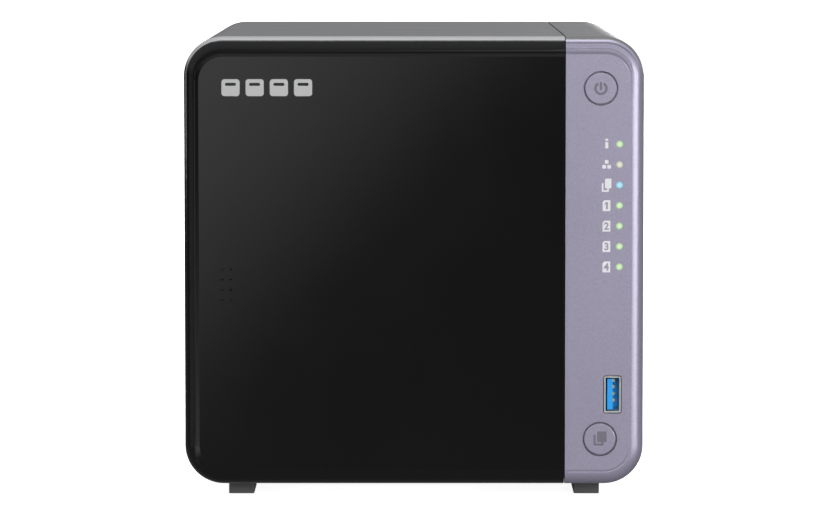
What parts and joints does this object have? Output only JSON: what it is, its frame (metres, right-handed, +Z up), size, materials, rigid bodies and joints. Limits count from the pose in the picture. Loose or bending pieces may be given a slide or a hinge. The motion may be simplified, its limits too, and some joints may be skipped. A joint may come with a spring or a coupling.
{
  "type": "network storage enclosure",
  "caption": "Desktop network storage box with a pull-off gloss front, upright drive trays, control strip, rear fan and sockets.",
  "frame": {"origin": "middle of the footprint at floor level, under the feet", "axes": "+X right seen from the front, -Y out of the front, +Z up; depth runs along Y"},
  "size_m": [0.168, 0.226, 0.17],
  "materials": {
    "case_paint": "fine matte textured dark grey",
    "cover_gloss": "gloss black with fine satin grain",
    "strip_paint": "pearl lavender grey paint",
    "dark_plastic": "moulded black, fine spark texture",
    "foot_rubber": "matte",
    "zinc_steel": "zinc plated sheet",
    "dark_steel": "black powder coat",
    "socket_steel": "nickel plated",
    "usb_blue": "satin blue",
    "gold_contact": "gold plated",
    "drive_cast": "cast, matte",
    "board_green": "solder mask",
    "chip_black": "moulded epoxy",
    "sink_aluminium": "extruded",
    "cell_steel": "satin plated",
    "capacitor_sleeve": "satin can",
    "spacer_brass": "turned",
    "magnet_nickel": "plated",
    "screw_black": "black zinc",
    "handle_plastic": "moulded dark grey",
    "socket_plastic": "moulded black",
    "lamp_green": "diffusing, lit green",
    "lamp_white": "diffusing, lit warm white",
    "lamp_blue": "diffusing, lit light blue"
  },
  "bodies": {
    "enclosure": {"case_cover": "case_paint", "side_cover": "case_paint", "front_bezel": "strip_paint", "bay_frame": "dark_plastic", "catch_plates": "zinc_steel", "drive_cage": "zinc_steel", "base_frame": "zinc_steel", "backplane": "board_green", "sata_sockets": "socket_plastic", "board_links": "socket_plastic", "main_board": "board_green", "board_spacers": "spacer_brass", "inner_screws": "zinc_steel", "processor": "chip_black", "heat_sink": "sink_aluminium", "memory_socket": "socket_plastic", "memory_module": "board_green", "coin_cell_holder": "socket_plastic", "coin_cell": "cell_steel", "capacitors": "capacitor_sleeve", "buzzer": "socket_plastic", "board_chips": "chip_black", "front_usb_shell": "socket_steel", "front_usb_tongue": "usb_blue", "front_usb_contacts": "gold_contact", "rear_usb_shells": "socket_steel", "rear_usb_tongues": "usb_blue", "ethernet_sockets": "socket_steel", "power_socket": "socket_plastic", "rear_panel": "dark_steel", "rear_screws": "screw_black", "fan_frame": "dark_plastic", "front_board": "board_green", "switches": "socket_plastic", "system_lamp": "lamp_green", "network_lamp": "lamp_white", "copy_lamp": "lamp_blue", "drive_lamp": "lamp_green", "foot_front_left": "foot_rubber", "foot_front_right": "foot_rubber", "foot_rear_left": "foot_rubber", "foot_rear_right": "foot_rubber"},
    "front_cover": {"front_cover": "cover_gloss", "cover_magnets": "magnet_nickel"},
    "power_button": {"power_button": "strip_paint"},
    "copy_button": {"copy_button": "strip_paint"},
    "reset_button": {"reset_button": "socket_plastic"},
    "fan_rotor": {"fan_rotor": "dark_plastic"},
    "tray_1": {"drive_tray_1": "dark_plastic", "hard_drive_1": "drive_cast"},
    "handle_1": {"tray_handle_1": "handle_plastic"},
    "tray_2": {"drive_tray_2": "dark_plastic", "hard_drive_2": "drive_cast"},
    "handle_2": {"tray_handle_2": "handle_plastic"},
    "tray_3": {"drive_tray_3": "dark_plastic", "hard_drive_3": "drive_cast"},
    "handle_3": {"tray_handle_3": "handle_plastic"},
    "tray_4": {"drive_tray_4": "dark_plastic", "hard_drive_4": "drive_cast"},
    "handle_4": {"tray_handle_4": "handle_plastic"}
  },
  "joints": [
    {"name": "front_cover_pull", "type": "slide", "parent": "enclosure", "child": "front_cover", "axis": [0, -1, 0], "range_m": [0, 0.3]},
    {"name": "power_button_press", "type": "slide", "parent": "enclosure", "child": "power_button", "axis": [0, 1, 0], "range_m": [0, 0.0008], "stiffness_N_per_m": 900, "springref_m": -0.0006},
    {"name": "copy_button_press", "type": "slide", "parent": "enclosure", "child": "copy_button", "axis": [0, 1, 0], "range_m": [0, 0.0008], "stiffness_N_per_m": 900, "springref_m": -0.0006},
    {"name": "reset_button_press", "type": "slide", "parent": "enclosure", "child": "reset_button", "axis": [0, -1, 0], "range_m": [0, 0.0006], "stiffness_N_per_m": 700, "springref_m": -0.0006},
    {"name": "fan_spin", "type": "hinge", "parent": "enclosure", "child": "fan_rotor", "pos_m": [-0.0134, 0.0973, 0.088], "axis": [0, -1, 0], "continuous": true},
    {"name": "tray_1_slide", "type": "slide", "parent": "enclosure", "child": "tray_1", "axis": [0, -1, 0], "range_m": [0, 0.18]},
    {"name": "handle_1_swing", "type": "hinge", "parent": "tray_1", "child": "handle_1", "pos_m": [-0.0602, -0.1083, 0.035], "axis": [1, 0, 0], "range_deg": [0, 60]},
    {"name": "tray_2_slide", "type": "slide", "parent": "enclosure", "child": "tray_2", "axis": [0, -1, 0], "range_m": [0, 0.18]},
    {"name": "handle_2_swing", "type": "hinge", "parent": "tray_2", "child": "handle_2", "pos_m": [-0.029, -0.1083, 0.035], "axis": [1, 0, 0], "range_deg": [0, 60]},
    {"name": "tray_3_slide", "type": "slide", "parent": "enclosure", "child": "tray_3", "axis": [0, -1, 0], "range_m": [0, 0.18]},
    {"name": "handle_3_swing", "type": "hinge", "parent": "tray_3", "child": "handle_3", "pos_m": [0.0022, -0.1083, 0.035], "axis": [1, 0, 0], "range_deg": [0, 60]},
    {"name": "tray_4_slide", "type": "slide", "parent": "enclosure", "child": "tray_4", "axis": [0, -1, 0], "range_m": [0, 0.18]},
    {"name": "handle_4_swing", "type": "hinge", "parent": "tray_4", "child": "handle_4", "pos_m": [0.0334, -0.1083, 0.035], "axis": [1, 0, 0], "range_deg": [0, 60]}
  ],
  "couplings": [
    {"joint": "tray_1_slide", "follows": "front_cover_pull", "ratio": 0.58},
    {"joint": "handle_1_swing", "follows": "front_cover_pull", "rad_per_m": 3.3},
    {"joint": "tray_2_slide", "follows": "front_cover_pull", "ratio": 0.58},
    {"joint": "handle_2_swing", "follows": "front_cover_pull", "rad_per_m": 3.3},
    {"joint": "tray_3_slide", "follows": "front_cover_pull", "ratio": 0.58},
    {"joint": "handle_3_swing", "follows": "front_cover_pull", "rad_per_m": 3.3},
    {"joint": "tray_4_slide", "follows": "front_cover_pull", "ratio": 0.58},
    {"joint": "handle_4_swing", "follows": "front_cover_pull", "rad_per_m": 3.3}
  ]
}
